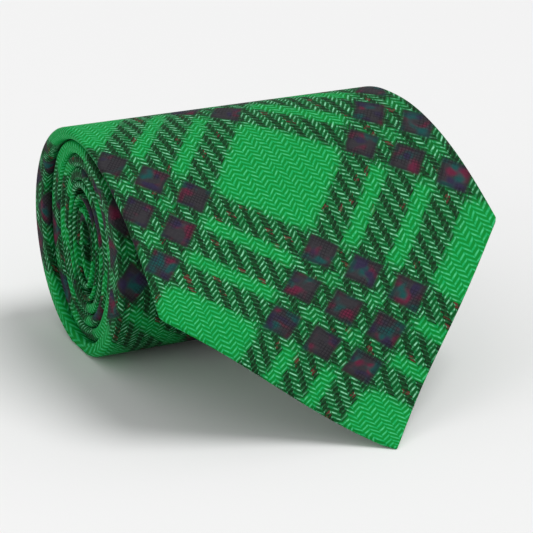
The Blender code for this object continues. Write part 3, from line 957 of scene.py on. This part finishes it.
def layer(name, start, end, half_of, depth, wall, material, columns=14, centre=0.0):
    """A sheet half_of(s) wide on each side of centre. Returns it with its flat size and area."""
    s = rows_between(start, end)
    half = half_of(s)[:, None]
    a = centre + half * np.linspace(-1, 1, columns)[None]
    s_grid = np.broadcast_to(s[:, None], a.shape)
    obj = bent_grid(name, place(s_grid, a, depth), a / MM, s_grid / MM)
    thicken(obj, wall, material, facing_in_at(obj, s[len(s) // 2], centre, depth))
    flat = (float(half.max() * 2), float(s[-1] - s[0]))
    area = float((half[:-1, 0] + half[1:, 0]) @ np.diff(s))
    print(f"{name}: {flat[0] / MM:.0f} x {flat[1] / MM:.0f} mm flat")
    return obj, flat, area


def felt_half(s):
    """It stops short of the folds, and further short where they are round."""
    turn = np.minimum(fold_thickness(s, -1)[0] / 2, FOLD_ROUND)
    return half_width(s) - CLOTH - FOLD_SHORT - 0.45 * turn


for name, node, body, start, end, under in (
    ("interlining_drawn_out", "interlining_end", None,
     POINT_SHORT, BOTTOM_S, "blade_cloth"),
    ("interlining_rolled_up", "interlining_rolled", "roll",
     BOTTOM_S, TIE_LENGTH - POINT_SHORT, "blade_cloth_rolled"),
):
    piece, flat, area = layer(name, start, end, felt_half, FELT_DEPTH, INTERLINING, felt)
    stand_in(piece, node, body)

# %% [markdown]
# ## The linings
#
# Behind each point, where the flaps stand apart, a piece of satin closes the back. It is thinner
# than the tie's own cloth, and its edges are tucked under the flaps.

# %% Linings at both points
SATIN, SATIN_GAP = 0.1 * MM, 0.025 * MM
SATIN_DEPTH = PLY - CLOTH - SATIN_GAP - SATIN
TUCK, TUCK_UP, EDGE_SHORT = 2 * MM, 4 * MM, 3 * MM
LINING_POINT = HEM_ACROSS * 0.72


def lining_half(s):
    """It reaches under the flaps, but never out to the folds."""
    return np.minimum(opening(s) + TUCK, half_width(s) - EDGE_SHORT)


for name, node, body, start, end, under in (
    ("blade_lining", "blade_tipping", "blade_end",
     LINING_POINT, OPENING_BLADE + TUCK_UP, "interlining_drawn_out"),
    ("tail_lining", "tail_tipping", "roll",
     TIE_LENGTH - OPENING_TAIL - TUCK_UP, TIE_LENGTH - LINING_POINT, "interlining_rolled_up"),
):
    piece, flat, area = layer(name, start, end, lining_half, SATIN_DEPTH, SATIN, lining)
    stand_in(piece, node, body)

# %% [markdown]
# ## Sewing
#
# All the sewing is one kind of thread, laid along a path and given a round section. A curve with a
# bevel does that. The slip stitch runs the whole length of the back in long slack stitches from
# one flap to the other, which is what lets a tie stretch when it is tied. The linings are felled
# to the hem with small slanting stitches, and each opening ends in a bar tack.

# %% Thread helper
THREAD = 0.15 * MM
STRAND_CREASE = math.radians(60)


def thread(name, node, body, s, a, depth):
    """A strand through these places of the flat tie."""
    points = place(np.asarray(s), np.asarray(a), depth)
    line = bpy.data.curves.new(name, "CURVE")
    line.dimensions = "3D"
    line.bevel_depth = THREAD
    line.bevel_resolution = 1
    line.use_fill_caps = True
    spline = line.splines.new("POLY")
    spline.points.add(len(points) - 1)
    weighted = np.concatenate([points, np.ones((len(points), 1))], 1)
    spline.points.foreach_set("co", weighted.ravel())
    obj = bpy.data.objects.new(name, line)
    bpy.context.scene.collection.objects.link(obj)
    active(obj)
    bpy.ops.object.convert(target="MESH")
    obj = bpy.context.object
    bpy.ops.object.shade_smooth_by_angle(angle=STRAND_CREASE)
    obj.data.materials.append(thread_material)
    stand_in(obj, node, body)
    print(f"{name}: {len(points)} points")


def zigzag(start, end, pitch, middle, half):
    """Places of a thread that swings to half on each side of a = middle."""
    count = max(int((end - start) / pitch * 4), 8)
    s = np.linspace(start, end, count + 1)
    swing = 0.5 - 0.5 * np.cos(math.tau * (s - start) / pitch)
    return s, mix(middle - half, middle + half, swing)


# %% Slip stitch, bar tacks and panel seams
STITCH_PITCH, STITCH_HALF = 6 * MM, 0.35 * MM
SEAM_DEPTH = PLY - 0.02 * MM
STITCH_FROM, STITCH_TO = OPENING_BLADE + 2 * MM, TIE_LENGTH - OPENING_TAIL - 2 * MM
TACK_HALF, TACK_POINTS, TACK_SWING = 3 * MM, 25, 0.4 * MM
SEAM_POINTS = 40

for name, node, body, start, end in (
    ("slip_stitch_drawn_out", "slip_stitch_end", None, STITCH_FROM, BOTTOM_S - TOUCH),
    ("slip_stitch_rolled_up", "slip_stitch_rolled", "roll", BOTTOM_S + TOUCH, STITCH_TO),
):
    thread(name, node, body, *zigzag(start, end, STITCH_PITCH, 0.0, STITCH_HALF), SEAM_DEPTH)
across = np.linspace(-TACK_HALF, TACK_HALF, TACK_POINTS)
to_and_fro = TACK_SWING * np.cos(np.arange(TACK_POINTS) * math.pi)
for name, node, body, s in (
    ("blade_end_bar_tack", "blade_bar_tack", "blade_end", STITCH_FROM + MM),
    ("tail_end_bar_tack", "tail_bar_tack", "roll", STITCH_TO - MM),
):
    thread(name, node, body, s + to_and_fro, across, PLY + THREAD)
for name, s in (("blade_neck_seam", BLADE_PANEL), ("neck_tail_seam", TAIL_JOIN)):
    half = float(half_width(np.array(s))) - CLOTH - FOLD_SHORT
    across = np.linspace(-1, 1, SEAM_POINTS) * half
    thread(name + "_thread", name, "roll", np.full(SEAM_POINTS, s), across, CLOTH + 0.02 * MM)

# %% [markdown]
# The felling stitches go down one side of the lining, round its point and up the other side. They
# follow the flaps' edges, so they are laid from the same outline.

# %% Stitches that hold the linings
FELL_STEP, FELL_SWING = 0.6 * MM, 0.25 * MM
for name, node, body, far in (
    ("blade_lining_stitches", "blade_tipping_stitch", "blade_end", BLADE_POINT),
    ("tail_lining_stitches", "tail_tipping_stitch", "roll", TAIL_POINT),
):
    down = np.arange(far, HEM_ACROSS, -FELL_STEP)
    from_point = np.concatenate([down, down[::-1]])
    side = np.repeat([-1.0, 1.0], len(down))
    s = TIE_LENGTH - from_point if body == "roll" else from_point
    edge = opening(s) + FELL_SWING * np.cos(np.arange(len(s)) * math.pi / 2)
    thread(name, node, body, s, side * np.maximum(edge, 0.3 * MM), PLY + THREAD * 0.8)

# %% [markdown]
# ## The keeper and the labels
#
# The keeper is a band of the tie's own cloth, folded to a double thickness and tacked down at both
# ends. The tail runs through it. It is bent over the tail in one smooth line. The two labels are
# blank: a wide dark one and a small white one for the washing marks.

# %% Keeper
KEEPER_START, KEEPER_LENGTH = FREE_LENGTH + 42 * MM, 15 * MM
KEEPER_HALF, KEEPER_FOOT = TAIL_WIDTH / 2 + 1.6 * MM, 5 * MM
KEEPER_A = TAIL_X - float(centre_x(np.array(KEEPER_START + KEEPER_LENGTH / 2)))
FOOT_DEPTH, WEB_DEPTH = PLY + TOUCH, 2 * PLY + KEEPER_ROOM + 2 * TOUCH
KEEPER_ROWS, KEEPER_COLUMNS = 14, 97
TACK_PITCH, KEEPER_TACK_HALF = 1.6 * MM, 0.5 * MM

s = np.linspace(KEEPER_START, KEEPER_START + KEEPER_LENGTH, KEEPER_ROWS)
band = np.linspace(-(KEEPER_HALF + KEEPER_FOOT), KEEPER_HALF + KEEPER_FOOT, KEEPER_COLUMNS)
over = smooth(np.abs(band), KEEPER_HALF - 0.2 * MM, KEEPER_HALF + 1.6 * MM)
depth = mix(WEB_DEPTH, FOOT_DEPTH, over)
s_grid, a_grid = np.meshgrid(s, band, indexing="ij")
points = place(s_grid, KEEPER_A + a_grid, np.broadcast_to(depth, s_grid.shape))
keeper = bent_grid("keeper_band", points, *print_map(s_grid, a_grid))
thicken(keeper, CLOTH, tartan, not facing_in_at(keeper, KEEPER_START, KEEPER_A, WEB_DEPTH))
stand_in(keeper, "keeper_loop", "roll")
start, end = KEEPER_START + 2 * MM, KEEPER_START + KEEPER_LENGTH - 2 * MM
for name, side in (("keeper_tack_left", -1), ("keeper_tack_right", 1)):
    middle = KEEPER_A + side * (KEEPER_HALF + KEEPER_FOOT * 0.6)
    path = zigzag(start, end, TACK_PITCH, middle, KEEPER_TACK_HALF)
    thread(name + "_thread", name, "roll", *path, FOOT_DEPTH + CLOTH + THREAD)

# %% Labels
LABEL_START, LABEL_SIZE = FREE_LENGTH + 61 * MM, (46 * MM, 11 * MM)
CARE_START, CARE_SIZE, CARE_A = FREE_LENGTH + 24 * MM, (16 * MM, 13 * MM), 34 * MM
TRIM, LABEL_COLUMNS = 0.2 * MM, 24

for name, node, start, (width, length), a, material in (
    ("wide_label", "label", LABEL_START, LABEL_SIZE, 0.0, label_satin),
    ("small_label", "care_label", CARE_START, CARE_SIZE, CARE_A, care_satin),
):
    label, flat, area = layer(name, start, start + length, lambda s: np.full(len(s), width / 2),
                              FOOT_DEPTH, TRIM, material, LABEL_COLUMNS, a)
    stand_in(label, node, "roll")
start, end = LABEL_START + MM, LABEL_START + LABEL_SIZE[1] - MM
for name, side in (("label_stitch_left", -1), ("label_stitch_right", 1)):
    path = zigzag(start, end, TACK_PITCH, side * (LABEL_SIZE[0] / 2 - MM), STITCH_HALF)
    thread(name + "_thread", name, "roll", *path, FOOT_DEPTH + TRIM + THREAD)

# %% [markdown]
# ## Floor and light
#
# A plain pale floor fills the view. A broad soft light stands high above it, a weak one on the
# left lights the end of the roll, and the sky is even. The shadow under the blade is what shows
# that it stands off the table, and a wide light keeps that shadow's edge soft.

# %% Floor and light
FLOOR_GREY, SKY = 0.86, 0.57
bpy.ops.object.select_all(action="DESELECT")
bpy.ops.mesh.primitive_plane_add(size=4, location=(0, 0, -0.05 * MM))
floor = bpy.context.object
floor.name = "floor"
floor_material, w, shader = new_material("pale_floor", 0.9, gloss=0.0)
shader.inputs["Base Color"].default_value = (FLOOR_GREY, FLOOR_GREY, FLOOR_GREY, 1)
floor.data.materials.append(floor_material)

world = bpy.data.worlds.new("studio")
world.use_nodes = True
sky = world.node_tree.nodes["Background"]
sky.inputs["Color"].default_value = (1, 1, 1, 1)
sky.inputs["Strength"].default_value = SKY
bpy.context.scene.world = world


def lamp(name, kind, spot, strength, **settings):
    """A light that shines from spot towards the tie."""
    data = bpy.data.lights.new(name, kind)
    data.energy = strength
    for setting, value in settings.items():
        setattr(data, setting, value)
    light = bpy.data.objects.new(name, data)
    bpy.context.scene.collection.objects.link(light)
    light.location = spot
    light.rotation_euler = (Vector(spot) - LOOK_AT).to_track_quat("Z", "Y").to_euler()
    print("lamp", name)


lamp("overhead", "SUN", (0.38, -0.3, 1.0), 1.6, angle=math.radians(32))
lamp("left_fill", "AREA", (-0.9, -0.3, 0.35), 1.0, shape="DISK", size=0.5)
bpy.context.scene.view_settings.view_transform = "Standard"
